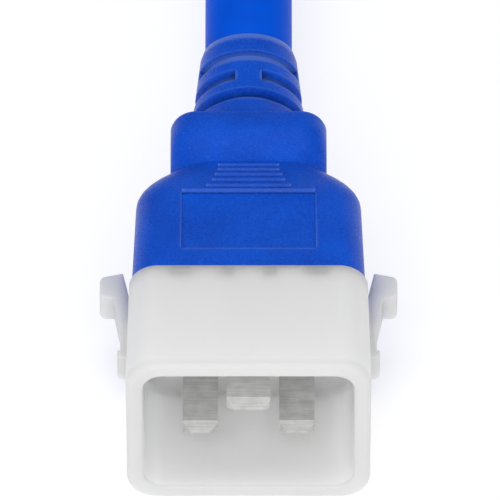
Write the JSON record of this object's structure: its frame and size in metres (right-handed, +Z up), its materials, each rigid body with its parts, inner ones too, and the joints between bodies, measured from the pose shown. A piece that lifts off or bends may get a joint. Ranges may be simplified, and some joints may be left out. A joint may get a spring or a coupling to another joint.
{
  "type": "locking power cord",
  "caption": "Mains cord with a shrouded three-pin plug, squeeze levers that lock it in its socket, and a matching three-slot connector at the far end.",
  "frame": {"origin": "centre of the plug's own box (without the free cord), on the surface that it lies on", "axes": "+Y from the plug's mouth along the plug towards the cord, +Z up from its flat underside, +X to the right seen from the mouth"},
  "size_m": [0.1761, 0.3023, 0.0296],
  "materials": {
    "sleeve": "satin translucent",
    "pin_plating": "nickel plated, brushed",
    "moulding": "fine spark grain",
    "jacket": "smooth satin",
    "strap": "woven",
    "insert": "satin",
    "contact_brass": "rolled",
    "core_brown": "satin",
    "core_blue": "satin",
    "core_green": "satin"
  },
  "bodies": {
    "cord_set": {"plug_sleeve": "sleeve", "line_pin": "pin_plating", "neutral_pin": "pin_plating", "earth_pin": "pin_plating", "line_core": "core_brown", "neutral_core": "core_blue", "earth_core": "core_green", "plug_body": "moulding", "cord_entry": "jacket", "cord_lead": "jacket", "cord_coil": "jacket", "coil_tie": "strap", "cord_tail": "jacket", "connector_insert": "insert", "connector_body": "moulding", "connector_cord_end": "jacket", "connector_line_contact": "contact_brass", "connector_neutral_contact": "contact_brass", "connector_earth_contact": "contact_brass", "connector_line_core": "core_brown", "connector_neutral_core": "core_blue", "connector_earth_core": "core_green"},
    "left_lever": {"lock_lever_left": "sleeve"},
    "right_lever": {"lock_lever_right": "sleeve"}
  },
  "joints": [
    {"name": "left_lever_squeeze", "type": "hinge", "parent": "cord_set", "child": "left_lever", "pos_m": [-0.01654, -0.03184, 0.0132], "axis": [0, 0, -1], "range_deg": [0, 4], "stiffness_Nm_per_rad": 0.5},
    {"name": "right_lever_squeeze", "type": "hinge", "parent": "cord_set", "child": "right_lever", "pos_m": [0.01654, -0.03184, 0.0132], "axis": [0, 0, 1], "range_deg": [0, 4], "stiffness_Nm_per_rad": 0.5}
  ]
}
